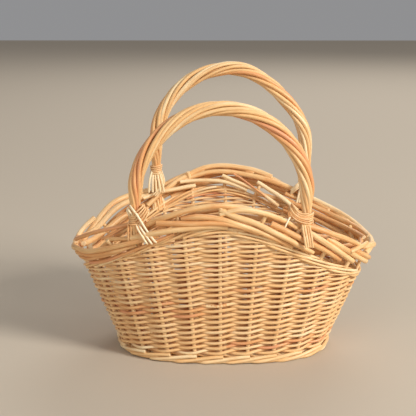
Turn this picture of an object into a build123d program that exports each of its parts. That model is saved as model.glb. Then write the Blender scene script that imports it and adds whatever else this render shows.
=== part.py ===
"""Oval willow egg collection basket with a saddle rim and two twisted bow handles.

Millimetres, +Z up.  X runs along the oval, Y across it, and the origin is the centre of the
footprint on the surface that the basket stands on.  Every rod is a round solid.  The woven
bands are closed shells with a channel for each stake that runs up inside them.
"""
import os
from math import atan2, cos, hypot, pi, sin, tan

from build123d import *

os.makedirs("parts", exist_ok=True)

# ---- Driving dimensions -------------------------------------------------------------------
# Wall: the line of the stakes, half way through the weave's thickness.
BASE_HALF_LENGTH = 99.0
BASE_HALF_DEPTH = 63.5
END_FLARE = 0.425          # outward run of the two ends for each mm of height
SIDE_FLARE = 0.174         # outward run of the front and back for each mm of height
BASE_POWER = 2.6           # superellipse power of the plan at the base: a squarish oval
TOP_POWER = 2.0            # and at TOP_SECTION_Z: a true ellipse
TOP_SECTION_Z = 175.0
WEAVE_HALF_THICK = 3.8

# Rim line: the underside of the border, high at the middle of each side, low at the ends.
RIM_MID_Z = 142.0
RIM_END_Z = 81.0
RIM_CROWN = 52.0           # how wide the rounded crown of the saddle is
RIM_LEAN = 4.0             # the left shoulder is this much higher, the right one lower

FOOT_WALE_TOP = 11.0
BAND_SPLIT_Z = 66.0        # flat rows below, rows that follow the saddle above
TOP_WALE_HEIGHT = 7.0

BASE_MID_Z = 6.0
BASE_HALF_THICK = 4.0

STAKE_COUNT = 22
STAKE_RADIUS = 1.5
STAKE_TAIL = 15.0          # how far a stake reaches in under the base weave
STAKE_BEND = 6.0
CHANNEL_RADIUS = 1.6

LONG_STICK_COUNT = 3
LONG_STICK_RADIUS = 2.0
LONG_STICK_PITCH = 9.0
LONG_STICK_HALF = 83.0
CROSS_STICK_COUNT = 5
CROSS_STICK_RADIUS = 3.4
CROSS_STICK_PITCH = 31.0
CROSS_STICK_HALF = 46.0

BORDER_ROD_RADIUS = 3.3
BORDER_LAYER = 7.0
BORDER_LAYERS = 3
BORDER_OFFSET = 5.9        # each column of border rods from the line of the stakes
BORDER_JOINT_GAP = 0.6     # degrees left between the two rods of one ring

# Handles: half circle above straight legs, in a plane across the oval.
ROPE_RADIUS = 6.8
CORE_RADIUS = 2.5
COLLAR_RADIUS = 5.8
COLLAR_HEIGHT = 11.0
LEG_SOCKET_DEPTH = 28.0    # how far a leg is pushed down inside the weave below the border
HANDLE_PLANE = 75.0        # each handle's plane from the middle of the basket
HANDLES = {
    "front": {"side": -1, "centre_x": -3.0, "centre_z": 168.5, "radius": 78.0,
              "flat": (0.01, 0.02), "collar_gap": 1.5},
    "back": {"side": 1, "centre_x": 8.0, "centre_z": 191.0, "radius": 79.0,
             "flat": (0.07, 0.01), "collar_gap": 8.0},
}

LASHING_RADIUS = 1.1
LASHING_STRANDS = 3
LASHING_PITCH = 3.0
LASHING_LEAN = 14.0        # how much nearer the middle than the leg a lashing runs


# ---- The wall's shape ---------------------------------------------------------------------
def sign_power(value, power):
    return abs(value) ** power * (1 if value >= 0 else -1)


def wall_point(angle, z, out=0.0):
    """Point on the stake line's surface at a plan angle and height, moved outward by out."""
    a = BASE_HALF_LENGTH + END_FLARE * z
    b = BASE_HALF_DEPTH + SIDE_FLARE * z
    power = BASE_POWER + (TOP_POWER - BASE_POWER) * z / TOP_SECTION_Z
    reach = (abs(cos(angle) / a) ** power + abs(sin(angle) / b) ** power) ** (-1 / power)
    x = reach * cos(angle)
    y = reach * sin(angle)
    normal_x = sign_power(x / a, power - 1) / a
    normal_y = sign_power(y / b, power - 1) / b
    length = hypot(normal_x, normal_y)
    return Vector(x + out * normal_x / length, y + out * normal_y / length, z)


def rim_line(x):
    """Height of the border's underside above a plan position along the oval."""
    end_x = BASE_HALF_LENGTH + END_FLARE * RIM_END_Z
    fall = (hypot(1, x / RIM_CROWN) - 1) / (hypot(1, end_x / RIM_CROWN) - 1)
    shoulder = sin(pi * max(-1.0, min(1.0, x / end_x)))
    return RIM_MID_Z - (RIM_MID_Z - RIM_END_Z) * fall - RIM_LEAN * shoulder


def rim_point(angle, above=0.0, out=0.0):
    """Point beside the wall at a plan angle, a given height above the rim line."""
    z = RIM_END_Z
    for _ in range(24):
        z = 0.5 * (z + rim_line(wall_point(angle, z, out).X) + above)
    return wall_point(angle, z, out)


def border_point(angle, above, out=0.0):
    """Point of the border, where above is measured square to the sloping rim line."""
    run = rim_point(angle + 0.01, 0.0, out) - rim_point(angle - 0.01, 0.0, out)
    return rim_point(angle, above * run.length / hypot(run.X, run.Y), out)


def even_angles(point_at, count, first):
    """Plan angles of count points that stand evenly round a closed loop, from first."""
    steps = 720
    angles = [first + 2 * pi * i / steps for i in range(steps + 1)]
    run = [0.0]
    for near, far in zip(angles, angles[1:]):
        run.append(run[-1] + (point_at(far) - point_at(near)).length)
    places = []
    for k in range(count):
        goal = run[-1] * k / count
        i = max(j for j in range(steps) if run[j] <= goal)
        part = (goal - run[i]) / (run[i + 1] - run[i])
        places.append(angles[i] + part * (angles[i + 1] - angles[i]))
    return places


# ---- Solids -------------------------------------------------------------------------------
def rod(points, radius, corner_radii=None):
    """Round rod along straight runs joined by the largest tangent arcs that fit."""
    points = [Vector(*point) for point in points]
    if len(points) == 2:
        path = Line(*points)
    else:
        if corner_radii is None:
            corner_radii = []
            for before, here, after in zip(points, points[1:], points[2:]):
                turn = (here - before).get_angle(after - here) * pi / 180
                shorter = min((here - before).length, (after - here).length)
                corner_radii.append(0.45 * shorter / tan(turn / 2))
        path = FilletPolyline(*points, radius=corner_radii)
    profile = Plane(path @ 0, z_dir=path % 0) * Circle(radius)
    solid = sweep(profile, path=path)
    expected = pi * radius ** 2 * path.length
    if abs(solid.volume / expected - 1) > 0.01:
        print("rod volume is off:", solid.volume, expected)
    return solid


def plan_face(z, out):
    ring = [wall_point(2 * pi * i / 32, z, out) for i in range(32)]
    return make_face(Spline(*ring, periodic=True))


def drum(z_low, z_high, out):
    """Solid inside the wall between two heights."""
    heights = [z_low, (z_low + z_high) / 2, z_high]
    return loft([plan_face(z, out) for z in heights])


def band(z_low, z_high, half_thick=WEAVE_HALF_THICK):
    return drum(z_low, z_high, half_thick) - drum(z_low, z_high, -half_thick)


def above_rim(offset):
    """Everything higher than the rim line moved by offset."""
    reach = 190.0
    top = 260.0
    xs = [-reach + 2 * reach * i / 20 for i in range(21)]
    curve = Spline(*[(x, rim_line(x) + offset) for x in xs])
    sides = Polyline(curve @ 1, (reach, top), (-reach, top), curve @ 0)
    profile = Plane.XZ * make_face([curve, sides])
    return extrude(profile, amount=reach, both=True)


def handle_arch(handle):
    """Centre line of a handle's bow, from the right leg over to the left."""
    points = []
    count = 14
    for i in range(count + 1):
        turn = pi * i / count
        flat = handle["flat"][0] if turn < pi / 2 else handle["flat"][1]
        reach = handle["radius"] * (1 - flat * sin(2 * turn) ** 2)
        x = handle["centre_x"] + reach * cos(turn)
        z = handle["centre_z"] + reach * sin(turn)
        points.append((x, handle["side"] * HANDLE_PLANE, z))
    return points


def wall_y(x, z):
    """Distance of the stake line from the XZ plane at a place along the oval."""
    a = BASE_HALF_LENGTH + END_FLARE * z
    b = BASE_HALF_DEPTH + SIDE_FLARE * z
    power = BASE_POWER + (TOP_POWER - BASE_POWER) * z / TOP_SECTION_Z
    return b * (1 - abs(x / a) ** power) ** (1 / power)


def fuse(solids):
    return Part() + list(solids)


# ---- Stakes -------------------------------------------------------------------------------
FIRST_STAKE = -pi / 2 - 0.045
base_angles = even_angles(lambda angle: wall_point(angle, BASE_MID_Z), STAKE_COUNT, FIRST_STAKE)
rim_angles = even_angles(rim_point, STAKE_COUNT, FIRST_STAKE)
stake_top = BORDER_LAYER * BORDER_LAYERS - 3.0

stakes = {}
channels = []
for k, (base_angle, rim_angle) in enumerate(zip(base_angles, rim_angles), start=1):
    route = [wall_point(base_angle, BASE_MID_Z, -STAKE_TAIL),
             wall_point(base_angle, BASE_MID_Z),
             rim_point(rim_angle, stake_top)]
    stakes[f"side_stake_{k:02d}"] = rod(route, STAKE_RADIUS, [STAKE_BEND])
    channels.append(rod(route, CHANNEL_RADIUS, [STAKE_BEND]))
channels = fuse(channels)

# ---- Base ---------------------------------------------------------------------------------
long_sticks = {}
for i in range(LONG_STICK_COUNT):
    y = LONG_STICK_PITCH * (i - (LONG_STICK_COUNT - 1) / 2)
    ends = [(-LONG_STICK_HALF, y, BASE_MID_Z), (LONG_STICK_HALF, y, BASE_MID_Z)]
    long_sticks[f"base_long_stick_{i + 1}"] = rod(ends, LONG_STICK_RADIUS)

cross_sticks = {}
for i in range(CROSS_STICK_COUNT):
    x = CROSS_STICK_PITCH * (i - (CROSS_STICK_COUNT - 1) / 2)
    ends = [(x, -CROSS_STICK_HALF, BASE_MID_Z), (x, CROSS_STICK_HALF, BASE_MID_Z)]
    stick = rod(ends, CROSS_STICK_RADIUS)
    for long_stick in long_sticks.values():
        stick -= long_stick
    cross_sticks[f"base_cross_stick_{i + 1}"] = stick

mat = drum(BASE_MID_Z - BASE_HALF_THICK, BASE_MID_Z + BASE_HALF_THICK, -WEAVE_HALF_THICK)
for stick in [*long_sticks.values(), *cross_sticks.values()]:
    mat -= stick
base_weave = mat - channels

# ---- Woven bands --------------------------------------------------------------------------
legs = {}
for name, handle in HANDLES.items():
    for end_name, end in (("right", 1), ("left", -1)):
        x = handle["centre_x"] + end * handle["radius"]
        side = handle["side"]
        angle = atan2(side * HANDLE_PLANE, x)
        border_top = border_point(angle, BORDER_LAYER * BORDER_LAYERS).Z
        socket_z = rim_line(x) - LEG_SOCKET_DEPTH
        collar_top = border_top + handle["collar_gap"] + COLLAR_HEIGHT
        legs[name, end_name] = [(x, side * wall_y(x, socket_z), socket_z),
                                (x, side * wall_y(x, border_top), border_top - 2),
                                (x, side * HANDLE_PLANE, collar_top)]

cores = {}
for name, handle in HANDLES.items():
    arch = handle_arch(handle)
    route = legs[name, "right"] + arch + list(reversed(legs[name, "left"]))
    cores[f"{name}_handle_core"] = rod(route, CORE_RADIUS)

foot_wale = band(0.0, FOOT_WALE_TOP, WEAVE_HALF_THICK) - channels
side_weave_lower = band(FOOT_WALE_TOP, BAND_SPLIT_Z) - channels

tall_band = band(BAND_SPLIT_Z, TOP_SECTION_Z)
side_weave_upper = tall_band - above_rim(-TOP_WALE_HEIGHT)
top_wale = (tall_band & above_rim(-TOP_WALE_HEIGHT)) - above_rim(0.0)
side_weave_upper -= channels
top_wale -= channels
for core in cores.values():
    side_weave_upper -= core
    top_wale -= core

# ---- Border -------------------------------------------------------------------------------
border = {}
points_per_rod = 25
for layer in range(BORDER_LAYERS):
    above = BORDER_LAYER * (layer + 0.5)
    for column, out in (("inner", -BORDER_OFFSET), ("outer", BORDER_OFFSET)):
        start = 50 + 62 * layer + (31 if column == "outer" else 0)
        for half in (0, 1):
            first = (start + 180 * half + BORDER_JOINT_GAP) * pi / 180
            span = (180 - 2 * BORDER_JOINT_GAP) * pi / 180
            route = [border_point(first + span * i / (points_per_rod - 1), above, out)
                     for i in range(points_per_rod)]
            name = f"border_rod_{column}_{layer + 1}{'ab'[half]}"
            border[name] = rod(route, BORDER_ROD_RADIUS)

# ---- Handles, collars and lashings ------------------------------------------------------
ropes = {}
collars = {}
lashings = {}
for name, handle in HANDLES.items():
    side = handle["side"]
    right, left = (legs[name, end][-1] for end in ("right", "left"))
    arch = handle_arch(handle)
    rope = rod([right] + arch + [left], ROPE_RADIUS) - cores[f"{name}_handle_core"]
    ropes[f"{name}_handle_strands"] = rope
    for end_name in ("right", "left"):
        top = Vector(*legs[name, end_name][-1])
        bottom = Vector(*legs[name, end_name][-2])
        down = (bottom - top).normalized()
        ends = [top + down * 0.3, top + down * COLLAR_HEIGHT]
        collar = rod(ends, COLLAR_RADIUS) - cores[f"{name}_handle_core"]
        collars[f"{name}_{end_name}_collar"] = collar

        strands = []
        for i in range(LASHING_STRANDS):
            shift = LASHING_PITCH * (i - (LASHING_STRANDS - 1) / 2)
            angle = atan2(top.Y, top.X * (1 - LASHING_LEAN / abs(top.X)) + shift)
            clear = BORDER_OFFSET + BORDER_ROD_RADIUS + LASHING_RADIUS + 0.8
            crown = BORDER_LAYER * BORDER_LAYERS + LASHING_RADIUS + 0.8
            route = [border_point(angle, crown),
                     border_point(angle, crown, clear),
                     border_point(angle, -4.0, clear)]
            strands.append(rod(route, LASHING_RADIUS, [3.0]))
        lashings[f"{name}_{end_name}_lashing"] = fuse(strands)

# ---- Write every piece --------------------------------------------------------------------
pieces = {"base_weave": base_weave, "foot_wale": foot_wale,
          "side_weave_lower": side_weave_lower, "side_weave_upper": side_weave_upper,
          "top_wale": top_wale}
for group in (long_sticks, cross_sticks, stakes, border, cores, ropes, collars, lashings):
    pieces.update(group)

for name, solid in pieces.items():
    solid.label = name
    export_step(solid, f"parts/{name}.step")
print(len(pieces), "pieces")
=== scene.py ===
import math

import bpy
import numpy as np
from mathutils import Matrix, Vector


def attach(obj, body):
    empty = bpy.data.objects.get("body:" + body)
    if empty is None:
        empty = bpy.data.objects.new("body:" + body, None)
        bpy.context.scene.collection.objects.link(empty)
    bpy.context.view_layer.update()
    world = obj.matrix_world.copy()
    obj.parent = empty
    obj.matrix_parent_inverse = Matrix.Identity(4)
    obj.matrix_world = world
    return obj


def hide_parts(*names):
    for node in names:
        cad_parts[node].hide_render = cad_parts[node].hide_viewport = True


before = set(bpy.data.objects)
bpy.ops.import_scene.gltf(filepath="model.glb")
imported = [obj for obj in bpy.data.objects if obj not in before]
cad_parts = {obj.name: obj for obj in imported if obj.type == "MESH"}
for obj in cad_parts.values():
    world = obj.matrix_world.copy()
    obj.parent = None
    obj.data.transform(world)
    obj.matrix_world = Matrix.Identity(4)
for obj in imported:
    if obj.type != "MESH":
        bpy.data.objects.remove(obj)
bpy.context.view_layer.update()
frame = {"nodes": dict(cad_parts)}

# Looks of an oval willow basket, made of single rods. Lengths are millimetres until a mesh is
# made. u counts stakes round the wall: a whole number is a stake, and u grows from the middle
# of the front towards +X. The names of the CAD nodes come from the frame.
MM = 0.001
rng = np.random.default_rng(11)

# ---- The wall, with the same driving sizes as the CAD model ---------------------------------
BASE_HALF_LENGTH = 99.0
BASE_HALF_DEPTH = 63.5
END_FLARE = 0.425
SIDE_FLARE = 0.174
BASE_POWER = 2.6
TOP_POWER = 2.0
TOP_SECTION_Z = 175.0
RIM_MID_Z = 142.0
RIM_END_Z = 81.0
RIM_CROWN = 52.0
RIM_LEAN = 4.0
STAKES = 22
FIRST_STAKE = -math.pi / 2 - 0.045
BASE_Z = 6.0
STAKE_RISE = 18.0
BORDER_TOP = 21.0


def wall(angle, z, out=0.0):
    """Points on the stake line's surface at plan angles and heights, moved outward by out."""
    angle, z, out = np.broadcast_arrays(*(np.asarray(v, float) for v in (angle, z, out)))
    a = BASE_HALF_LENGTH + END_FLARE * z
    b = BASE_HALF_DEPTH + SIDE_FLARE * z
    power = BASE_POWER + (TOP_POWER - BASE_POWER) * z / TOP_SECTION_Z
    c, s = np.cos(angle), np.sin(angle)
    reach = (np.abs(c / a) ** power + np.abs(s / b) ** power) ** (-1 / power)
    x, y = reach * c, reach * s
    nx = np.sign(x) * np.abs(x / a) ** (power - 1) / a
    ny = np.sign(y) * np.abs(y / b) ** (power - 1) / b
    size = np.hypot(nx, ny)
    return np.stack([x + out * nx / size, y + out * ny / size, z], axis=-1)


def rim_line(x):
    end_x = BASE_HALF_LENGTH + END_FLARE * RIM_END_Z
    fall = (np.hypot(1, x / RIM_CROWN) - 1) / (math.hypot(1, end_x / RIM_CROWN) - 1)
    shoulder = np.sin(math.pi * np.clip(x / end_x, -1, 1))
    return RIM_MID_Z - (RIM_MID_Z - RIM_END_Z) * fall - RIM_LEAN * shoulder


def rim_point(angle, above=0.0):
    z = np.full(np.shape(angle), RIM_END_Z)
    for _ in range(24):
        z = 0.5 * (z + rim_line(wall(angle, z)[..., 0]) + above)
    return wall(angle, z)


def even_angles(point_at):
    """Plan angle as a function of u, with the stakes evenly spaced along a closed loop."""
    angles = FIRST_STAKE + np.linspace(0, 2 * math.pi, 1441)
    points = point_at(angles)
    run = np.concatenate([[0], np.cumsum(np.linalg.norm(np.diff(points, axis=0), axis=1))])
    return run / run[-1] * STAKES, angles


BASE_LOOP = even_angles(lambda angle: wall(angle, BASE_Z))
RIM_LOOP = even_angles(rim_point)


def loop_angle(loop, u):
    turns = np.floor(np.asarray(u, float) / STAKES)
    return np.interp(u - turns * STAKES, *loop) + 2 * math.pi * turns


U_GRID = np.linspace(0, STAKES, 881)
RIM_Z = rim_point(loop_angle(RIM_LOOP, U_GRID))[:, 2]


def rim_z(u):
    return np.interp(np.mod(u, STAKES), U_GRID, RIM_Z)


def surface(u, z, out=0.0):
    """Points of the wall by stake count and height: the stakes are its straight lines."""
    u, z = np.broadcast_arrays(np.asarray(u, float), np.asarray(z, float))
    low, high = loop_angle(BASE_LOOP, u), loop_angle(RIM_LOOP, u)
    part = (z - BASE_Z) / (rim_z(u) + STAKE_RISE - BASE_Z)
    return wall(low + (high - low) * np.clip(part, 0, 1.2), z, out)


def rim_frame(u):
    """The rim line's points with three axes: along it, up the wall, and outward."""
    here = surface(u, rim_z(u))
    along = surface(u + 0.02, rim_z(u + 0.02)) - surface(u - 0.02, rim_z(u - 0.02))
    along /= np.linalg.norm(along, axis=-1, keepdims=True)
    up = surface(u, rim_z(u) + 2) - here
    up -= np.sum(up * along, axis=-1, keepdims=True) * along
    up /= np.linalg.norm(up, axis=-1, keepdims=True)
    outward = np.cross(along, up)
    return here, along, up, outward


def border_place(u, up_by, out_by):
    here, along, up, outward = rim_frame(np.asarray(u, float))
    up_by, out_by = np.asarray(up_by)[..., None], np.asarray(out_by)[..., None]
    return here + up * up_by + outward * out_by


# ---- Rods ---------------------------------------------------------------------------------
# A cut end is a flat face with a worn edge. These are shares of the rod's radius.
CUT_FACE = 0.8
CUT_EDGE_RISE = 0.14
CUT_MIDDLE_RISE = 0.16
# The painted shade that a weaving rod has all round where it crosses the wall's middle.
LEVEL_SHADE = 0.15


def curve(points, per_step=8):
    """A smooth line through a few points: a Catmull-Rom curve."""
    p = np.asarray(points, float)
    p = np.vstack([2 * p[0] - p[1], p, 2 * p[-1] - p[-2]])
    t = np.linspace(0, 1, per_step, endpoint=False)[:, None]
    parts = []
    for a, b, c, d in zip(p[:-3], p[1:-2], p[2:-1], p[3:]):
        parts.append(0.5 * (2 * b + (c - a) * t + (2 * a - 5 * b + 4 * c - d) * t ** 2
                            + (3 * b - a - 3 * c + d) * t ** 3))
    return np.vstack(parts + [p[-2:-1]])


class Bundle:
    """Rods gathered into one mesh, each with its own tone and with grain along its length."""

    def __init__(self):
        self.points, self.faces, self.smooth = [], [], []
        self.grain, self.tone, self.cut, self.painted_shade = [], [], [], []
        self.count = 0

    def add(self, points, faces, smooth, grain, tone, cut, painted_shade):
        self.faces += [[first + self.count for first in face] for face in faces]
        self.smooth += [smooth] * len(faces)
        self.points.append(points)
        self.grain.append(grain)
        self.tone.append(np.full(len(points), tone))
        self.cut.append(np.asarray(cut, float))
        self.painted_shade.append(np.asarray(painted_shade, float))
        self.count += len(points)

    def rod(self, path, radius, tone, sides=10, thin=1.0, face=None, middle=None):
        """A rod along a path, with cut ends. Its thickness along face is a share thin of its
        width. middle, from -1 inside the wall to 1 outside it, puts painted shade on the side of
        the rod that is turned to the wall's middle."""
        path = np.asarray(path, float)
        n = len(path)
        radius = np.broadcast_to(np.asarray(radius, float), n)
        ahead = np.gradient(path, axis=0)
        ahead /= np.linalg.norm(ahead, axis=1, keepdims=True)
        if face is None:
            side = np.cross(ahead[0], [0.31, 0.17, 0.93])
            kept = [side / np.linalg.norm(side)]
            for i in range(1, n):
                side = kept[-1] - np.dot(kept[-1], ahead[i]) * ahead[i]
                kept.append(side / np.linalg.norm(side))
            across = np.array(kept)
        else:
            across = np.cross(ahead, face)
            across /= np.linalg.norm(across, axis=1, keepdims=True)
        other = np.cross(ahead, across) * thin
        turn = np.linspace(0, 2 * math.pi, sides, endpoint=False)
        ring = (across[:, None] * np.cos(turn)[None, :, None]
                + other[:, None] * np.sin(turn)[None, :, None])
        points = (path[:, None] + ring * radius[:, None, None]).reshape(-1, 3)
        run = np.concatenate([[0], np.cumsum(np.linalg.norm(np.diff(path, axis=0), axis=1))])
        shift = rng.uniform(0, 900, 3)
        grain = np.stack([np.repeat(run, sides),
                          np.tile(np.cos(turn), n) * np.repeat(radius, sides),
                          np.tile(np.sin(turn), n) * np.repeat(radius, sides)], axis=1) + shift
        i, k = np.meshgrid(np.arange(n - 1), np.arange(sides), indexing="ij")
        near, far = i * sides + k, i * sides + (k + 1) % sides
        quads = np.stack([near, far, far + sides, near + sides], axis=-1).reshape(-1, 4)
        # Painted shade: the side of a weaving rod turned to the wall's middle is darkened in its
        # colour, standing in for the shade there.
        painted_shade = np.zeros(len(points))
        if middle is not None:
            facing = np.sum(ring * face[:, None], axis=2)
            painted_shade = np.clip(-facing * middle[:, None] + LEVEL_SHADE, 0, 1).reshape(-1)
        self.add(points, quads.tolist(), True, grain, tone, np.zeros(len(points)), painted_shade)
        for end, outward in ((0, -1), (n - 1, 1)):
            r = radius[end]
            rim = path[end] + ring[end] * r
            inner = (path[end] + ring[end] * r * CUT_FACE
                     + ahead[end] * outward * r * CUT_EDGE_RISE)
            centre = path[end] + ahead[end] * outward * r * CUT_MIDDLE_RISE
            cap = np.vstack([rim, inner, centre[None]])
            disc = [[k, (k + 1) % sides, sides + (k + 1) % sides, sides + k]
                    for k in range(sides)]
            disc += [[sides + k, sides + (k + 1) % sides, 2 * sides] for k in range(sides)]
            if outward > 0:
                disc = [corners[::-1] for corners in disc]
            cap_grain = np.concatenate([grain[end * sides:(end + 1) * sides]] * 2
                                       + [grain[end * sides][None]])
            self.add(cap, disc, False, cap_grain, tone, [0.0] * sides + [1.0] * (sides + 1),
                     np.zeros(len(cap)))

    def build(self, name, material, slot, *replaced):
        mesh = bpy.data.meshes.new(name)
        mesh.from_pydata((np.concatenate(self.points) * MM).tolist(), [], self.faces)
        mesh.polygons.foreach_set("use_smooth", self.smooth)
        grain = mesh.attributes.new("grain", "FLOAT_VECTOR", "POINT")
        grain.data.foreach_set("vector", (np.concatenate(self.grain) * MM).ravel())
        # The last attribute holds the painted shade of the weaving rods' sides.
        for key, values in (("tone", self.tone), ("cut", self.cut), ("painted_shade", self.painted_shade)):
            made = mesh.attributes.new(key, "FLOAT", "POINT")
            made.data.foreach_set("value", np.concatenate(values))
        mesh.materials.append(material)
        mesh.update()
        piece = bpy.data.objects.new(name, mesh)
        bpy.context.collection.objects.link(piece)
        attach(piece, "root")
        if replaced:
            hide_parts(*replaced)


def smooth_step(t):
    t = np.clip(t, 0, 1)
    return t * t * (3 - 2 * t)


def wobble(u, size, waves=4):
    """A slow uneven drift round the wall, the same at u and u + STAKES."""
    total = np.zeros_like(np.asarray(u, float))
    for k in range(2, 2 + waves):
        total += np.sin(2 * math.pi * k * np.asarray(u) / STAKES + rng.uniform(0, 6.28)) / waves
    return size * total


def uneven(size):
    """A random amount for each half gap between stakes, joined smoothly, over U_GRID."""
    values = rng.normal(0, size, 2 * STAKES)
    place = np.mod(U_GRID * 2, 2 * STAKES)
    low = np.floor(place).astype(int) % (2 * STAKES)
    part = smooth_step(place - np.floor(place))
    return values[low] * (1 - part) + values[(low + 1) % (2 * STAKES)] * part


# ---- Willow material ----------------------------------------------------------------------
def linear(red, green, blue):
    def channel(v):
        v /= 255
        return v / 12.92 if v <= 0.04045 else ((v + 0.055) / 1.055) ** 2.4
    return (channel(red), channel(green), channel(blue), 1.0)


# Colours on the display's 0 to 255 scale.
DARK_GRAIN = (206, 158, 120)
PALE_GRAIN = (250, 228, 186)
# SHADE is the colour of the painted shade on the weaving rods' sides turned to the wall's middle.
SHADE = (172, 104, 62)
CUT_WOOD = (233, 205, 160)
CANE = (250, 232, 196)
PALE = (249, 224, 178)
STRAW = (243, 206, 152)
HONEY = (236, 190, 130)
AMBER = (226, 165, 104)
PINK = (226, 158, 112)


def willow(name, tones, roughness=0.47, streak=0.34, bump=0.0003):
    """Peeled willow: a tone for each rod, streaks along the grain, blotches, cut ends."""
    material = bpy.data.materials.new(name)
    material.use_nodes = True
    tree = material.node_tree
    nodes, links = tree.nodes, tree.links
    shader = nodes["Principled BSDF"]

    def noise(vector, scale, detail, rough):
        made = nodes.new("ShaderNodeTexNoise")
        made.inputs["Scale"].default_value = scale
        made.inputs["Detail"].default_value = detail
        made.inputs["Roughness"].default_value = rough
        links.new(vector, made.inputs["Vector"])
        return made.outputs["Fac"]

    def remap(value, low, high, to_low, to_high):
        made = nodes.new("ShaderNodeMapRange")
        for key, number in zip(("From Min", "From Max", "To Min", "To Max"),
                               (low, high, to_low, to_high)):
            made.inputs[key].default_value = number
        links.new(value, made.inputs["Value"])
        return made.outputs["Result"]

    def combine(operation, first, second):
        made = nodes.new("ShaderNodeMath")
        made.operation = operation
        for socket, value in zip(made.inputs, (first, second)):
            if isinstance(value, (int, float)):
                socket.default_value = value
            else:
                links.new(value, socket)
        return made.outputs["Value"]

    def mix(blend, factor, first, second):
        made = nodes.new("ShaderNodeMix")
        made.data_type = "RGBA"
        made.blend_type = blend
        for key, value in (("Factor", factor), ("A", first), ("B", second)):
            socket = next(s for s in made.inputs if s.name == key and s.enabled)
            if isinstance(value, (int, float, tuple)):
                socket.default_value = value
            else:
                links.new(value, socket)
        return next(s for s in made.outputs if s.enabled)

    def attribute(key, output):
        made = nodes.new("ShaderNodeAttribute")
        made.attribute_name = key
        return made.outputs[output]

    grain = attribute("grain", "Vector")
    stretch = nodes.new("ShaderNodeMapping")
    stretch.inputs["Scale"].default_value = (0.05, 1.0, 1.0)
    links.new(grain, stretch.inputs["Vector"])
    drawn = stretch.outputs["Vector"]
    streaks = noise(drawn, scale=1300.0, detail=3.0, rough=0.62)
    broad = noise(drawn, scale=380.0, detail=2.0, rough=0.5)
    blotch = noise(grain, scale=42.0, detail=3.0, rough=0.6)
    pores = noise(grain, scale=1700.0, detail=2.0, rough=0.6)

    shade = combine("ADD", attribute("tone", "Fac"), remap(blotch, 0.3, 0.7, -0.12, 0.12))
    shade = combine("ADD", shade, remap(broad, 0.3, 0.7, -0.15, 0.15))
    ramp = nodes.new("ShaderNodeValToRGB")
    stops = ramp.color_ramp.elements
    while len(stops) < len(tones):
        stops.new(0.5)
    for i, (stop, colour) in enumerate(zip(stops, tones)):
        stop.position = i / (len(tones) - 1)
        stop.color = linear(*colour)
    links.new(shade, ramp.inputs["Fac"])

    # Dark streaks turn red brown and light ones pale, and the rods' sides turned to the wall's
    # middle get a painted shade.
    depth = remap(streaks, 0.50, 0.78, 0.0, streak)
    stained = mix("MULTIPLY", depth, ramp.outputs["Color"], linear(*DARK_GRAIN))
    light = remap(streaks, 0.22, 0.45, 0.30, 0.0)
    polished = mix("MIX", light, stained, linear(*PALE_GRAIN))
    with_painted_shade = mix("MULTIPLY", attribute("painted_shade", "Fac"), polished, linear(*SHADE))
    wood = mix("MIX", attribute("cut", "Fac"), with_painted_shade, linear(*CUT_WOOD))
    links.new(wood, shader.inputs["Base Color"])

    links.new(remap(streaks, 0.3, 0.7, roughness - 0.09, roughness + 0.10),
              shader.inputs["Roughness"])
    relief = nodes.new("ShaderNodeBump")
    relief.inputs["Strength"].default_value = 0.65
    relief.inputs["Distance"].default_value = bump
    links.new(combine("ADD", combine("MULTIPLY", streaks, 0.8), combine("MULTIPLY", pores, 0.2)),
              relief.inputs["Height"])
    links.new(relief.outputs["Normal"], shader.inputs["Normal"])
    shader.inputs["Specular IOR Level"].default_value = 0.5
    return material


weave_willow = willow("willow_weave", [PALE, STRAW, HONEY, HONEY, AMBER, PINK])
stake_willow = willow("willow_stake", [PALE, STRAW, STRAW, HONEY])
border_willow = willow("willow_border", [PALE, STRAW, HONEY, AMBER, AMBER, PINK], streak=0.5,
                       bump=0.0004)
handle_willow = willow("willow_handle", [PALE, STRAW, HONEY, HONEY, AMBER, PINK], streak=0.46,
                       bump=0.0004)
cane = willow("split_cane", [CANE, PALE, STRAW, AMBER], roughness=0.4)


def weaver_tone():
    """Most weaving rods are straw to honey, and a few are reddish."""
    return float(np.clip(rng.normal(0.36, 0.13), 0.05, 0.7) if rng.random() < 0.93
                 else rng.uniform(0.75, 0.95))


# ---- Stakes -------------------------------------------------------------------------------
STAKE_RADIUS = 1.95
STAKE_LEANS = [-5.0, -2.0, 2.0, 4.0, 7.0]
FOOT_TOP = 9.5

# Each stake comes out of the base, turns up the wall and ends leaning between the border rods.
stakes = Bundle()
for k in range(STAKES):
    z = np.linspace(3.0, rim_z(k) - 2, 16)
    path = surface(np.full(16, k) + rng.normal(0, 0.02), z)
    lean_out = rng.choice(STAKE_LEANS)
    tip = np.linspace(1, rng.uniform(14, 22), 7)
    tip_path = border_place(np.full(7, k), tip, lean_out * (tip / BORDER_TOP) ** 2)
    tail = surface(np.full(5, k), np.full(5, 4.5), np.linspace(-16, -1.5, 5))
    stakes.rod(np.concatenate([tail, path, tip_path]), STAKE_RADIUS * rng.uniform(0.94, 1.1),
               rng.uniform(0.2, 0.8))

# ---- Side weave: pairs of rods twined round the stakes ------------------------------------
# The low rows run all the way round. The high rows are level too, and each stops where the
# sloping rim cuts it off. Left of the front handle the weave is a few millimetres higher, and
# round the middle of the front and the back a second wale lies under the first. Both lists
# run round the wall as (stake, mm).
WEAVE_LIFT = np.array([(0, 0), (2, 1), (4, 2), (5.5, 0), (16, 0), (17, 6), (17.7, 6.5), (18.5, 4),
                       (19.5, 0), (20.5, -1.5), (22, 0)])
WALE_DEPTH = np.array([(0, 7), (4.8, 7), (5.6, 3.6), (9, 3.6), (10, 7), (14, 7), (15, 3.6),
                       (20, 3.6), (20.8, 7), (22, 7)])


def weave_lift(u):
    return np.interp(np.mod(u, STAKES), WEAVE_LIFT[:, 0], WEAVE_LIFT[:, 1])


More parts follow.
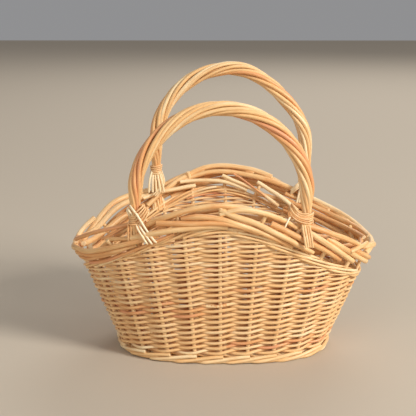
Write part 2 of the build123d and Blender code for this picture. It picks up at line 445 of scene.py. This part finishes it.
FULL_ROWS = 14
FULL_ROW_END = 4.65
FULL_ROW_MID = 5.6
SHORT_ROWS = 10
ROWS = FULL_ROWS + SHORT_ROWS
WEAVE_START = FOOT_TOP
weave_height = (RIM_Z + weave_lift(U_GRID) - WEAVE_START
                - np.interp(U_GRID, WALE_DEPTH[:, 0], WALE_DEPTH[:, 1]))
share = (weave_height - weave_height.min()) / np.ptp(weave_height)
full_row = FULL_ROW_END + (FULL_ROW_MID - FULL_ROW_END) * np.sqrt(share)
left_over = weave_height - FULL_ROWS * full_row
short_row = left_over.max() / SHORT_ROWS
presence = np.ones((ROWS, len(U_GRID)))
for row in range(SHORT_ROWS):
    presence[FULL_ROWS + row] = np.clip(left_over / short_row - row, 0, 1)
depth = np.where(np.arange(ROWS)[:, None] < FULL_ROWS, full_row, short_row) * presence
row_z = WEAVE_START + np.cumsum(depth, axis=0) - depth / 2

# A weaving rod has SAMPLES points for each stake. Its radius and its rise and fall are shares
# of its row's height, its lag is in stakes, and its reach from the wall's middle in mm. Its
# swing in and out turns sharper as SWING_SHARPNESS nears 1.
SAMPLES = 13
ROD_SHARE = 0.28
TWIST_LAG = 0.10
TWIST_RISE = 0.31
ROD_REACH = 2.75
SWING_SHARPNESS = 0.93


def row_spans(row):
    """Stretches of u where a row is there: the whole ring, or a hump at the front and back."""
    there = presence[row] > 0.25
    if there.all():
        return [(0.0, float(STAKES))]
    edges = np.flatnonzero(np.diff(there.astype(int)))
    marks = [U_GRID[i] for i in edges]
    if there[0]:
        marks = [marks[-1] - STAKES] + marks[:-1]
    return [(marks[i], marks[i + 1]) for i in range(0, len(marks) - 1, 2)]


def twine(bundle, row, span):
    """One pair of weaving rods along a span, each made of rods laid end over end."""
    start, end = span
    ring = end - start > STAKES - 0.01
    drift = wobble(U_GRID, 0.3)
    for sign in (1, -1):
        bulge = uneven(0.08)
        slip = uneven(0.16)
        place = start
        while place < end - 0.5:
            stop = min(place + rng.uniform(6.5, 13.0), end)
            if end - stop < 2.0:
                stop = end
            overlap = 0.45 if place > start or ring else 0
            u = np.linspace(place - overlap, stop + 0.2, max(8, int((stop - place) * SAMPLES)))
            at = np.mod(u, STAKES)
            tall = np.interp(at, U_GRID, np.where(presence[row] > 0, depth[row], 3))
            tall = np.clip(tall, 3.3, FULL_ROW_MID)
            swing = np.arcsin(SWING_SHARPNESS * np.cos(math.pi * u)) * sign
            swing /= math.asin(SWING_SHARPNESS)
            taper = np.linspace(1.0, rng.uniform(0.85, 1.05), len(u))
            if rng.random() < 0.5:
                taper = taper[::-1]
            radius = ROD_SHARE * tall * taper * rng.uniform(0.95, 1.05)
            reach = ROD_REACH * (1 + np.interp(at, U_GRID, bulge))
            rise = np.sin(math.pi * (u - TWIST_LAG)) * sign * tall * TWIST_RISE
            z = np.interp(at, U_GRID, row_z[row]) + rise + np.interp(at, U_GRID, drift + slip)
            face = surface(u, z, 1.0) - surface(u, z)
            # middle gives the rod's side turned to the wall's middle a painted shade.
            bundle.rod(surface(u, z, swing * reach), radius, weaver_tone(), thin=0.9, face=face,
                       middle=swing)
            place = stop


weave_pieces = []
for row in range(0, ROWS, 2):
    weave = Bundle()
    for part in (row, row + 1):
        for span in row_spans(part):
            twine(weave, part, span)
    weave_pieces.append(weave)


# ---- Wales: three rods that pass outside two stakes and inside one ------------------------
def wale(bundle, below, half_height, radius, tones, first=0.0, length=STAKES):
    """A wale along the rim, its middle below the rim line, from a stake on for some stakes."""
    for strand in range(3):
        place = first + rng.uniform(0, 1.2)
        last = place + length
        while place < last - 0.5:
            stop = min(place + rng.uniform(5, 9), last)
            if last - stop < 2:
                stop = last
            u = np.linspace(place - 0.4, stop + 0.3, int((stop - place) * SAMPLES))
            cycle = 2 * math.pi * (u - strand) / 3
            out = np.clip(0.35 + np.cos(cycle), -0.85, 0.85) / 0.85
            here, _, up, outward = rim_frame(u)
            lift = np.sin(cycle) * half_height + weave_lift(u) - below
            path = here + up * lift[:, None] + outward * (out * (STAKE_RADIUS + radius))[:, None]
            bundle.rod(path, radius * rng.uniform(0.88, 1.1), rng.uniform(*tones))
            place = stop


LOW_WALE_SPANS = ((20.2, 6.4), (9.6, 4.2))
top_wale = Bundle()
wale(top_wale, below=1.8, half_height=1.4, radius=1.35, tones=(0.1, 0.6))
for first, length in LOW_WALE_SPANS:
    wale(top_wale, below=5.2, half_height=1.2, radius=1.2, tones=(0.2, 0.7), first=first,
         length=length)

# ---- Foot: short rods along the bottom edge, each cut off at a stake ----------------------
# Two layers: the height it rises to, the reach outward, the stakes it runs past, the stagger.
FOOT_ROD = 1.75
FOOT_TUCK = -3.0
FOOT_LAYERS = ((8.2, 4.2, 2.2, 0.0), (4.4, 2.6, 2.6, 0.5))
foot = Bundle()
for high, reach, back, stagger in FOOT_LAYERS:
    for k in range(STAKES):
        u = np.linspace(k - back + stagger, k + 0.1 + stagger, 22)
        t = (u - u[0]) / (u[-1] - u[0])
        z = FOOT_ROD + (high - FOOT_ROD) * smooth_step((t - 0.1) / 0.9) + rng.normal(0, 0.15)
        out = FOOT_TUCK + (reach - FOOT_TUCK) * smooth_step(t / 0.3) - 0.6 * t
        foot.rod(surface(u, np.maximum(z, FOOT_ROD), out), FOOT_ROD * rng.uniform(0.9, 1.0),
                 rng.uniform(0.0, 0.45))

# ---- Base: rods woven round the sticks ----------------------------------------------------
LONG_STICK_GAP = 9.0
LONG_STICK_HALF = 84
LONG_STICK_RADIUS = 2.2
CROSS_STICK_GAP = 31.0
CROSS_STICK_HALF = 48
CROSS_STICK_RADIUS = 2.6
BASE_OVAL_POWER = 2.4
BASE_ROD = 1.5
BASE_RING_STEP = 3.1
BASE_SWING = 2.4

base = Bundle()
base_sticks = Bundle()
for y in np.arange(-1, 2) * LONG_STICK_GAP:
    x = np.linspace(-LONG_STICK_HALF, LONG_STICK_HALF, 12)
    path = np.stack([x, y * (1 + np.abs(x) / 450), np.full(12, BASE_Z)], axis=1)
    base_sticks.rod(path, LONG_STICK_RADIUS, rng.uniform(0.2, 0.6))
for x in np.arange(-2, 3) * CROSS_STICK_GAP:
    y = np.linspace(-CROSS_STICK_HALF, CROSS_STICK_HALF, 10)
    path = np.stack([x * (1 + np.abs(y) / 500), y, np.full(10, BASE_Z)], axis=1)
    base_sticks.rod(path, CROSS_STICK_RADIUS, rng.uniform(0.2, 0.6))


def base_ring(u, inset, z):
    """Points on an oval inside the footprint, at the plan angles of the stakes."""
    angle = loop_angle(BASE_LOOP, u)
    a, b = BASE_HALF_LENGTH - inset, BASE_HALF_DEPTH - inset
    c, s = np.cos(angle), np.sin(angle)
    oval = np.abs(c / a) ** BASE_OVAL_POWER + np.abs(s / b) ** BASE_OVAL_POWER
    reach = oval ** (-1 / BASE_OVAL_POWER)
    return np.stack([reach * c, reach * s, z], axis=-1)


for ring, inset in enumerate(np.arange(0.5, 58, BASE_RING_STEP)):
    for sign in (1, -1):
        place = 0.0
        while place < STAKES - 0.5:
            stop = min(place + rng.uniform(8, 14), STAKES)
            if STAKES - stop < 3:
                stop = STAKES
            u = np.linspace(place - 0.2, stop + 0.2, int((stop - place) * 8))
            swing = np.cos(math.pi * u + math.pi * ring) * sign
            path = base_ring(u, inset + 0.55 * np.sin(math.pi * u) * sign,
                             BASE_Z + swing * BASE_SWING)
            base.rod(path, BASE_ROD * rng.uniform(0.92, 1.05), weaver_tone(), sides=8)
            place = stop

# ---- Border -------------------------------------------------------------------------------
# How high the border stands above the rim line, round the wall: (stake, mm).
CREST = np.array([(0, 20), (1, 21), (2, 25), (3, 28), (5, 30), (7, 30), (8.5, 27), (10, 25),
                  (11, 22), (12, 17), (13, 18), (14, 27), (15.5, 30), (17.5, 32), (18.8, 30),
                  (19.7, 26), (20.5, 20), (22, 20)])


def crest(u):
    return np.interp(np.mod(u, STAKES), CREST[:, 0], CREST[:, 1])


# A rod is its radius, its tone and its way, a few points: (stakes round the wall, up from the
# rim line, outward). These are the rods seen from the front, from the left end (below 22) over
# the middle of the front (22) to the right end (above 22), most of them over the outside.
FRONT_RODS = [
    (2.6, 0.40, [(19.6, 12, -5), (20.4, 17, 0), (21, 18, 3), (21.6, 19.5, 3), (22.1, 20, 2),
                 (22.7, 19, -2), (23.4, 14, -5)]),
    (2.5, 0.35, [(22, 12, 3), (22.4, 19.5, 4.5), (22.8, 21.5, 4), (23.2, 21.5, 2), (23.6, 20, -1),
                 (24.2, 17, -4)]),
    (2.7, 0.45, [(21.1, 11, 0), (21.5, 11, 4), (22, 8.5, 5.5), (22.5, 5.5, 6), (23.2, 4, 5.5),
                 (24, 2, 3)]),
    (2.6, 0.60, [(20.5, 15, 3), (21, 9.5, 5.5), (21.5, 5.5, 6.5), (22.3, 4.7, 6.3), (23, 2.5, 5)]),
    (2.7, 0.30, [(19.7, 12, 4), (20.3, 8.5, 6), (21, 4, 6.6), (21.5, 2, 6), (22.2, 1, 4)]),
    (1.5, 0.90, [(17.9, 7, 3.5), (18.6, 3, 4.5), (19.4, 1, 5), (20.3, 0, 5.3), (20.8, 1, 4.5)]),
    (2.6, 0.42, [(16.6, 26, 3), (17.1, 25.5, 5.5), (17.7, 24.5, 6), (18, 20.5, 6.5),
                 (18.5, 16, 6.5), (19.2, 11.5, 6.5), (19.8, 7.5, 6), (20.4, 4, 4)]),
    (2.1, 0.50, [(16.5, 22, 2), (17, 20.5, 4.5), (17.8, 17.5, 5.5), (18.4, 12, 6), (19.1, 7.5, 6),
                 (19.7, 4, 3.5)]),
    (2.0, 0.62, [(16.8, 18, 2), (17.4, 15.5, 4), (17.9, 11.5, 4.5), (18.5, 9, 5.5), (19.2, 5, 4)]),
    (2.0, 0.50, [(18.9, 21.5, 0), (19.4, 15, 3), (19.9, 10, 4.5), (20.6, 6, 4)]),
    (2.0, 0.80, [(16.6, 30, 0), (17.4, 32, 1), (18.2, 33, 3), (18.8, 31, 2), (19.4, 26, -1),
                 (20.2, 20, -4)]),
    (1.5, 0.85, [(18.8, 22.5, 1), (19.2, 22.5, 0), (19.7, 23, -4)]),
    (2.6, 0.48, [(24, 25, 0), (24.4, 27.5, 4), (24.8, 28.5, 5.5), (25.3, 29, 6), (25.8, 27.5, 5),
                 (26.3, 25, 2)]),
    (2.8, 0.28, [(24, 20, 0), (24.3, 20.5, 5), (24.6, 19.5, 7), (25.2, 16, 7), (25.6, 13, 6.5),
                 (25.9, 10.5, 6.5)]),
    (2.7, 0.38, [(24.8, 22, 2), (25, 21.5, 5), (25.3, 20, 6.5), (25.6, 18.5, 6.5), (26, 16, 6.5),
                 (26.7, 12, 6)]),
    (2.6, 0.48, [(25.8, 21, 4), (26.1, 20, 6), (26.5, 18, 6), (27.4, 12.5, 6)]),
    (2.2, 0.45, [(25.6, 19.5, 8), (25.8, 25.5, 8.5), (26.2, 31, 5)]),
    (2.6, 0.50, [(23.2, 14.5, 3), (23.5, 14.5, 5), (24, 13.5, 6.5), (24.8, 12, 6),
                 (25.1, 10.5, 5.5), (25.5, 8, 4)]),
    (2.7, 0.36, [(22, 16, 2), (22.3, 12.5, 5), (22.8, 11, 6), (23.3, 9, 6.5), (23.8, 8, 7),
                 (24.1, 6.5, 6.5), (24.6, 5, 4)]),
]
# The rods seen over the back and on the inside of the two ends.
BACK_RODS = [
    (2.8, 0.22, [(4.5, 20, 4), (5, 27, 3), (5.6, 29.5, 2), (6.3, 29.5, 2), (7.1, 30, 3),
                 (7.8, 29, 3), (8.6, 26.5, 2), (9.4, 23, 3)]),
    (2.9, 0.50, [(5.6, 30, 1), (6.2, 29, -1), (6.9, 27, -2), (7.6, 24, -2.5), (8.4, 21, -3),
                 (9.2, 18, -3)]),
    (2.9, 0.62, [(5.6, 27, -3), (6.6, 23.5, -6), (7.4, 19.5, -6.3), (8.2, 16, -6),
                 (9.2, 12, -5.5)]),
    (2.8, 0.42, [(6.0, 17, -5.5), (6.8, 15, -6), (7.4, 13.5, -6.3), (8.1, 10.5, -6), (9, 6, -5)]),
    (2.7, 0.60, [(5.2, 12, -5), (6.2, 10, -6), (7.2, 7.5, -6), (8.2, 4.5, -5.5), (9, 2, -4)]),
    (2.9, 0.33, [(9.8, 26, 0.5), (10.3, 25, 1), (10.7, 23, 1.2), (11.2, 21.7, 1), (11.6, 20, 0),
                 (12.1, 16, -1), (12.8, 11.5, -3), (13.5, 7, -4.5)]),
    (2.8, 0.45, [(8.6, 26.5, 0), (9.1, 25.5, -1), (9.9, 21.5, -2.5), (10.5, 17.5, -3.5),
                 (11, 16, -3.5), (11.6, 14.5, -3), (12.2, 12, 0), (12.9, 9, 3)]),
    (2.2, 0.08, [(10.3, 2.5, -5), (10.9, 4.5, -6.3), (11.6, 7, -7), (12.3, 12.5, -6.5)]),
    (2.3, 0.15, [(11.9, 3.5, -6.5), (12.5, 7.5, -7), (12.9, 11.5, -6.5), (13.5, 16, -5)]),
    (2.3, 0.10, [(9.2, 2.5, -5), (9.8, 5.5, -6.5), (10.7, 7.5, -7.2), (11.1, 11.5, -7)]),
    (1.1, 0.90, [(9.7, 5, -9), (10.2, 8.5, -9.3), (10.8, 15, -8.5)]),
    (2.4, 0.05, [(8.6, 9, -6.5), (9.2, 12.3, -8), (9.7, 13.5, -8.8), (10.1, 15, -8.5)]),
    (3.1, 0.3, [(13.2, 19, -1), (13.8, 26, 1.5), (14.4, 29.5, 2), (15.2, 25, 2), (16, 20.5, 3),
                (16.8, 17, 4)]),
    (3.0, 0.28, [(13.3, 16, -3), (14, 22.5, -3), (14.5, 24, -3), (15.4, 21, -1), (16.2, 26, 1),
                 (17, 29, 2)]),
    (3.1, 0.38, [(13.6, 9, -5.5), (14.4, 13.5, -6.3), (15.2, 14.5, -6.3), (16, 17.5, -5.5),
                 (16.9, 23, -3.5)]),
    (2.8, 0.50, [(14, 4, -5.5), (15, 6.5, -6), (16, 9, -6), (17, 14, -5.5), (17.9, 20, -4)]),
    (2.5, 0.30, [(15.2, 31, -1), (15.8, 31, 0), (16.4, 29, 2), (17, 24, 4)]),
]

BORDER_TAPER = 0.14
border_groups = []


def border_rod(bundle, radius, tone, way):
    u, up, out = curve(way).T
    along = np.linspace(0, 1, len(u))
    bundle.rod(border_place(u, up, out), radius * (1.05 - BORDER_TAPER * along), tone, sides=12)


def lay_in_groups(rods, size):
    for first in range(0, len(rods), size):
        group = Bundle()
        for radius, tone, way in rods[first:first + size]:
            border_rod(group, radius, tone, way)
        border_groups.append(group)


def rolled_rods(first, last, step, shape):
    """Rods that repeat one way round the wall: (stakes on, share of the crest, outward)."""
    rods = []
    for start in np.arange(first, last, step):
        nudge = start + rng.normal(0, 0.12)
        way = [(nudge + u * rng.uniform(0.95, 1.05), share * crest(nudge + u) + rng.normal(0, 0.5),
                out + rng.normal(0, 0.3)) for u, share, out in shape]
        rods.append((rng.uniform(2.5, 3.1), float(rng.uniform(0.15, 0.8)), way))
    return rods


OUTSIDE = [(0, 0.9, 0.5), (0.7, 0.92, 4.5), (1.6, 0.76, 6.3), (2.8, 0.5, 6.8), (3.9, 0.26, 6.5),
           (4.8, 0.09, 4.5)]
INSIDE = [(0, 0.08, -4), (0.8, 0.2, -6), (1.7, 0.4, -6.5), (2.6, 0.62, -6.3), (3.4, 0.84, -5)]
lay_in_groups(sorted(FRONT_RODS, key=lambda rod: rod[2][0][0]), 4)
lay_in_groups(sorted(BACK_RODS, key=lambda rod: rod[2][0][0]), 4)
lay_in_groups(rolled_rods(first=4.3, last=12.2, step=1.2, shape=OUTSIDE), 3)
lay_in_groups(rolled_rods(first=16.6, last=26.2, step=1.3, shape=INSIDE), 3)

# ---- Handles ------------------------------------------------------------------------------
# flat draws in the right and the left shoulder of a handle's half circle, as shares of its
# radius. collar_gap is from the border up to the collar. paler is taken off the rods' tones.
HANDLE_PLANE = 75.0
HANDLES = {
    "front": {"side": -1, "centre_x": -3.0, "centre_z": 168.5, "radius": 78.0,
              "flat": (0.01, 0.02), "collar_gap": 1.5, "paler": 0.0},
    "back": {"side": 1, "centre_x": 8.0, "centre_z": 191.0, "radius": 79.0,
             "flat": (0.07, 0.01), "collar_gap": 8.0, "paler": 0.12},
}
COLLAR_HEIGHT = 11.0
STRANDS = 9
STRAND_RADIUS = 1.85
STRAND_TONES = [0.2, 0.42, 0.55, 0.66, 0.95, 0.82, 0.5, 0.25, 0.6]
CORE_RADIUS = 2.9
CORE_TONE = 0.55
ROPE_RADIUS = 7.0
# In and under the collars the strands lie on a ring of this radius. Above them they swell to
# the rope's full size over SWELL_LENGTH, and below them they spread over TAIL_LENGTH.
COLLAR_RING = 3.0
SWELL_LENGTH = 26.0
TAIL_LENGTH = 12.0
# The length along the handle in which a strand goes once round, and the step between points.
LAY_LENGTH = 172.0
HANDLE_STEP = 3.0
# How many of those points, from either end, are sure to hold the whole leg and its collar.
LEG_POINTS = 28


def wall_y(x, z):
    a = BASE_HALF_LENGTH + END_FLARE * z
    b = BASE_HALF_DEPTH + SIDE_FLARE * z
    power = BASE_POWER + (TOP_POWER - BASE_POWER) * z / TOP_SECTION_Z
    return b * (1 - abs(x / a) ** power) ** (1 / power)


def resample(points, step):
    points = np.asarray(points, float)
    run = np.concatenate([[0], np.cumsum(np.linalg.norm(np.diff(points, axis=0), axis=1))])
    at = np.linspace(0, run[-1], int(run[-1] / step) + 1)
    return np.stack([np.interp(at, run, points[:, i]) for i in range(3)], axis=1), at


def leg(handle, end):
    """A leg's points from inside the border up to the collar's top, and the collar's bottom."""
    x = handle["centre_x"] + end * handle["radius"]
    side = handle["side"]
    slope = abs(rim_line(x + 1) - rim_line(x - 1)) / 2
    border_top = rim_line(x) + BORDER_TOP * math.hypot(1, slope)
    socket = rim_line(x) - 4
    collar_low = border_top + handle["collar_gap"]
    collar_top = collar_low + COLLAR_HEIGHT
    points = [(x, side * wall_y(x, socket), socket),
              (x, side * wall_y(x, border_top), border_top - 2),
              (x, side * HANDLE_PLANE, collar_top)]
    return points, collar_low, collar_top


# How far each collar's windings sit above the CAD model's sleeve, or below it.
COLLAR_SHIFT = {("front", "left"): -2.5, ("front", "right"): 3.3,
                ("back", "left"): 3.0, ("back", "right"): 5.0}
handle_pieces = []
legs = {}
for name, handle in HANDLES.items():
    right, right_low, right_top = leg(handle, 1)
    left, left_low, left_top = leg(handle, -1)
    turn = np.linspace(0, math.pi, 60)
    flat = np.where(turn < math.pi / 2, handle["flat"][0], handle["flat"][1])
    reach = handle["radius"] * (1 - flat * np.sin(2 * turn) ** 2)
    arch = np.stack([handle["centre_x"] + reach * np.cos(turn),
                     np.full(60, handle["side"] * HANDLE_PLANE),
                     handle["centre_z"] + reach * np.sin(turn)], axis=1)
    line, run = resample(np.concatenate([right, arch, left[::-1]]), HANDLE_STEP)
    for _ in range(3):
        line[1:-1] = (line[:-2] + 2 * line[1:-1] + line[2:]) / 4
    right_leg, left_leg = line[:LEG_POINTS], line[::-1][:LEG_POINTS]
    right_collar = np.interp(right_top, right_leg[:, 2], run[:LEG_POINTS])
    left_collar = run[-1] - np.interp(left_top, left_leg[:, 2], run[:LEG_POINTS])
    ahead = np.gradient(line, axis=0)
    ahead /= np.linalg.norm(ahead, axis=1, keepdims=True)
    depthwise = np.tile([0.0, 1.0, 0.0], (len(line), 1))
    depthwise -= np.sum(depthwise * ahead, axis=1, keepdims=True) * ahead
    depthwise /= np.linalg.norm(depthwise, axis=1, keepdims=True)
    outer = np.cross(depthwise, ahead)
    from_collar = np.minimum(run - right_collar, left_collar - run)
    swell = smooth_step(from_collar / SWELL_LENGTH)
    ring = COLLAR_RING + (ROPE_RADIUS - STRAND_RADIUS - COLLAR_RING) * swell
    tails = np.clip((-from_collar - COLLAR_HEIGHT) / TAIL_LENGTH, 0, 1)
    tones = np.roll(STRAND_TONES, rng.integers(STRANDS)) - handle["paler"]
    for first in range(0, STRANDS, 3):
        bundle = Bundle()
        for k in range(first, first + 3):
            phase = (2 * math.pi * k / STRANDS + 2 * math.pi * run / LAY_LENGTH
                     + 0.18 * np.sin(run / 31 + rng.uniform(0, 6.28)))
            own = (1.5 + 0.43 * swell) * rng.uniform(0.9, 1.14)
            around = ring * (1 + 0.05 * np.sin(run / 23 + rng.uniform(0, 6.28)))
            path = (line + outer * (around * np.sin(phase) * (1 + 0.5 * tails))[:, None]
                    + depthwise * (around * np.cos(phase) * (1 - 0.3 * tails))[:, None])
            bundle.rod(path, own, tones[k], sides=12)
        handle_pieces.append((f"{name}_handle_strands_{first // 3 + 1}", bundle,
                              f"{name}_handle_strands"))
    core = Bundle()
    core.rod(line, CORE_RADIUS, CORE_TONE, sides=12)
    handle_pieces.append((f"{name}_handle_core_rod", core, f"{name}_handle_core"))

    for end_name, low, high, half in (("right", right_low, right_top, right_leg),
                                      ("left", left_low, left_top, left_leg)):
        at = (low + high) / 2
        legs[name, end_name] = (np.interp(at, half[:, 2], half[:, 0]),
                                np.interp(at, half[:, 2], half[:, 1]),
                                low + COLLAR_SHIFT[name, end_name])

# ---- Collars: cane wound round each foot, a little unevenly ---------------------------------
COLLAR_TURNS = 5
COLLAR_WIND = 5.7
COLLAR_PITCH = 1.95
COLLAR_CANE = 0.9
COLLAR_TONE = 0.8
for (name, end_name), (x, y, low) in legs.items():
    collar = Bundle()
    a = np.linspace(0, 2 * math.pi * COLLAR_TURNS, COLLAR_TURNS * 24)
    wind = COLLAR_WIND + 0.4 * np.cos(a / COLLAR_TURNS) + 0.2 * np.sin(a * 0.37)
    rise = 0.8 + a / (2 * math.pi) * COLLAR_PITCH + 0.5 * np.sin(a + 1)
    path = np.stack([x + wind * np.cos(a), y + wind * np.sin(a), low + rise], axis=1)
    collar.rod(path, COLLAR_CANE, COLLAR_TONE, sides=8)
    handle_pieces.append((f"{name}_{end_name}_cane_collar", collar, f"{name}_{end_name}_collar"))

# ---- Strips and rod ends at each foot --------------------------------------------------------
# How many, radius, tone, and the ways of the first and the last of them, whose points are
# (along X from the leg, towards the front, up from the collar's bottom).
FOOT_STRIPS = {
    ("front", "left"): [
        (2, 0.95, 0.1,
         [(-5, -6, 8), (-7.5, -1, 14), (-6.5, 4.5, 13), (-4, 3, 8.5), (0.5, 4.5, 3),
          (2.5, 8, -1.5), (7.5, 11, -9), (10.5, 12, -13.5), (11.5, 9, -15.5)],
         [(-4, -6, 10), (-6.5, 0, 16.5), (-5, 6.3, 15), (-1, 4.5, 9.5), (3, 4.3, 4),
          (5.5, 8.5, -0.5), (11, 11, -8), (14.5, 12, -13), (15.5, 9, -15)]),
        (1, 1.0, 0.03,
         [(-1, -6, 12), (-4.5, 0, 18), (-2.5, 6.5, 17), (2, 7.8, 11.5), (6.5, 8.3, 4),
          (10, 9.5, -1.5), (14, 11, -7), (18, 12, -12), (19.5, 9, -14)], None),
        (4, 1.1, 0.85, [(-6.5, 2.5, 2), (-6.5, 3.5, -4), (-6.5, 3, -14)],
         [(1, 3.5, 2), (1.5, 3.5, -4), (1.5, 3, -14)]),
        (5, 0.75, 0.75,
         [(-1.5, 6, 10.5), (0.5, 7.5, 13), (4, 7.5, 16), (7, 5, 18.5), (6, 1, 18.5),
          (5, -4, 15), (4, -6, 6), (4, -6, -3)],
         [(3, 6, 1), (7, 8, 4), (11, 8, 10), (12.5, 5.5, 14), (10.5, 1, 15.5),
          (10, -4, 12), (9, -6, 4), (8, -6, -3)]),
    ],
    ("front", "right"): [
        (6, 0.75, 0.92,
         [(1.5, 6, 11.5), (-3, 7.5, 11.5), (-7, 8, 12.5), (-10, 7.5, 15), (-12.5, 4, 18),
          (-13.5, 0, 19), (-13.5, -4, 15), (-12, -6, 6), (-11, -6, -4)],
         [(1.5, 6, 2.5), (-3, 7.8, 3.5), (-8.5, 8, 5.5), (-13, 7.5, 9), (-16, 5, 13),
          (-16.5, 0, 14.5), (-16.5, -4, 12), (-15.5, -6, 4), (-14, -6, -4)]),
        (4, 1.1, 0.8,
         [(-4, 5, 1.5), (-3.5, 9, -3.5), (-2.5, 13.5, -10), (-1, 14, -17.5)],
         [(2, 5, 1.5), (3, 9, -3.5), (4, 13.5, -10), (5, 14, -17.5)]),
        (1, 0.8, 0.05, [(-15.5, 7, 8.5), (-18, 10, 5), (-20, 12, 1), (-21.5, 12, -2.5)], None),
        (2, 2.2, 0.5, [(-12, -3, 4), (-13, -3, -2.5), (-14, -4, -10)],
         [(-6, -3, 4), (-6.5, -3, -2.5), (-7.5, -4, -10)]),
    ],
    ("back", "left"): [
        (5, 1.2, 0.35, [(-4, 3, 4), (-6, 6, -2), (-7, 7.5, -9), (-7.5, 8, -18)],
         [(3, 3, 4), (5, 6, -2), (7, 7.5, -9), (8.5, 8, -17)]),
        (3, 0.8, 0.4, [(3, 5, 4), (6, 6, -5), (3, 8, -14), (-3, 9, -20)],
         [(6, 4, 5), (9, 5, -6), (6, 7, -15), (1, 8, -22)]),
    ],
    ("back", "right"): [
        (5, 1.2, 0.35, [(-4, 3.5, 2), (-6, 5, -6), (-8, 6, -14)],
         [(4, 3.5, 2), (3, 5, -6), (1.5, 6, -14)]),
        (4, 0.75, 0.4, [(-4, 4, 9), (-8, 5, 6), (-14, 2, -1)],
         [(-4, 4, 3), (-9, 4, -1), (-14, 1, -6)]),
    ],
}
for (name, end_name), groups in FOOT_STRIPS.items():
    x, y, low = legs[name, end_name]
    lashing = Bundle()
    for count, radius, tone, first_way, last_way in groups:
        first_path = curve(first_way)
        last_path = curve(last_way or first_way)
        for k in range(count):
            share = k / max(count - 1, 1)
            dx, dy, dz = (first_path + (last_path - first_path) * share).T
            path = np.stack([x + dx, y - dy + rng.normal(0, 0.15), low + dz + rng.normal(0, 0.2)],
                            axis=1)
            lashing.rod(path, radius * rng.uniform(0.92, 1.08),
                        float(np.clip(tone + rng.normal(0, 0.06), 0, 1)), sides=10)
    handle_pieces.append((f"{name}_{end_name}_cane_lashing", lashing,
                          f"{name}_{end_name}_lashing"))

# ---- Build every piece --------------------------------------------------------------------
nodes = frame["nodes"]


def named(prefix):
    return sorted(name for name in nodes if name.startswith(prefix))


# Each CAD node is replaced by the first piece that stands for it.
WEAVE_NODES = {0: ["side_weave_lower"], 6: ["side_weave_upper"]}
stakes.build("side_stakes", stake_willow, "willow_stake", *named("side_stake_"))
for i, weave in enumerate(weave_pieces):
    weave.build(f"weave_rows_{i + 1:02d}", weave_willow, "willow_weave", *WEAVE_NODES.get(i, []))
top_wale.build("top_wale_rods", weave_willow, "willow_weave", "top_wale")
foot.build("foot_rods", weave_willow, "willow_weave", "foot_wale")
base.build("base_rods", weave_willow, "willow_base", "base_weave")
base_sticks.build("base_sticks", stake_willow, "willow_base",
                  *named("base_long_stick_"), *named("base_cross_stick_"))
border_nodes = named("border_rod_")
for i, group in enumerate(border_groups):
    group.build(f"border_willow_{i + 1:02d}", border_willow, "willow_border",
                *border_nodes[i:i + 1])
seen = set()
for name, bundle, node_name in handle_pieces:
    material, slot = (cane, "split_cane") if "cane" in name else (handle_willow, "willow_handle")
    fresh = [node_name] if node_name not in seen else []
    seen.add(node_name)
    bundle.build(name, material, slot, *fresh)

# ---- Stage, camera and light --------------------------------------------------------------
FLOOR_HALF = 6
floor_mesh = bpy.data.meshes.new("floor")
floor_mesh.from_pydata([(-FLOOR_HALF, -FLOOR_HALF, 0), (FLOOR_HALF, -FLOOR_HALF, 0),
                        (FLOOR_HALF, FLOOR_HALF, 0), (-FLOOR_HALF, FLOOR_HALF, 0)],
                       [], [(0, 1, 2, 3)])
floor = bpy.data.objects.new("floor", floor_mesh)
bpy.context.collection.objects.link(floor)
floor_paint = bpy.data.materials.new("floor")
floor_paint.use_nodes = True
floor_shader = floor_paint.node_tree.nodes["Principled BSDF"]
floor_shader.inputs["Base Color"].default_value = (0.56, 0.48, 0.38, 1)
floor_shader.inputs["Roughness"].default_value = 0.9
floor_shader.inputs["Specular IOR Level"].default_value = 0.2
floor_mesh.materials.append(floor_paint)

# The camera looks a little down along +Y. Its lens is 2.24 times as long as the frame is wide.
SENSOR_WIDTH = 36.0
LENS_TO_WIDTH = 933.0 / 416.0
CAMERA_PLACE = (-9.8, -902.8, 347.5)
LOOK_DOWN = 0.228
LOOK_LEFT = 0.006
camera_data = bpy.data.cameras.new("camera")
camera_data.sensor_width = SENSOR_WIDTH
camera_data.lens = SENSOR_WIDTH * LENS_TO_WIDTH
camera = bpy.data.objects.new("camera", camera_data)
bpy.context.collection.objects.link(camera)
camera.location = Vector(CAMERA_PLACE) * MM
camera.rotation_euler = (math.pi / 2 - LOOK_DOWN, 0.0, LOOK_LEFT)
bpy.context.scene.camera = camera
bpy.context.scene.view_settings.view_transform = "Standard"


def area_light(name, place, target, size, power, colour=(1, 1, 1)):
    """A square light. Its place, target and size are in metres."""
    data = bpy.data.lights.new(name, "AREA")
    data.size = size
    data.energy = power
    data.color = colour
    light = bpy.data.objects.new(name, data)
    bpy.context.collection.objects.link(light)
    light.location = place
    aim = Vector(target) - Vector(place)
    light.rotation_euler = aim.to_track_quat("-Z", "Y").to_euler()


area_light("key", (2.7, -1.9, 1.9), (0, 0, 0.12), size=1.0, power=138.0, colour=(1.0, 0.985, 0.955))
area_light("fill", (-1.8, -3.2, 1.6), (0, 0, 0.1), size=2.4, power=40.0, colour=(1.0, 0.985, 0.965))
area_light("back", (0.8, 2.8, 2.4), (0, 0, 0.12), size=2.0, power=40.0)
world = bpy.data.worlds.new("world")
bpy.context.scene.world = world
world.use_nodes = True
world.node_tree.nodes["Background"].inputs["Color"].default_value = (0.40, 0.40, 0.41, 1)
world.node_tree.nodes["Background"].inputs["Strength"].default_value = 0.7
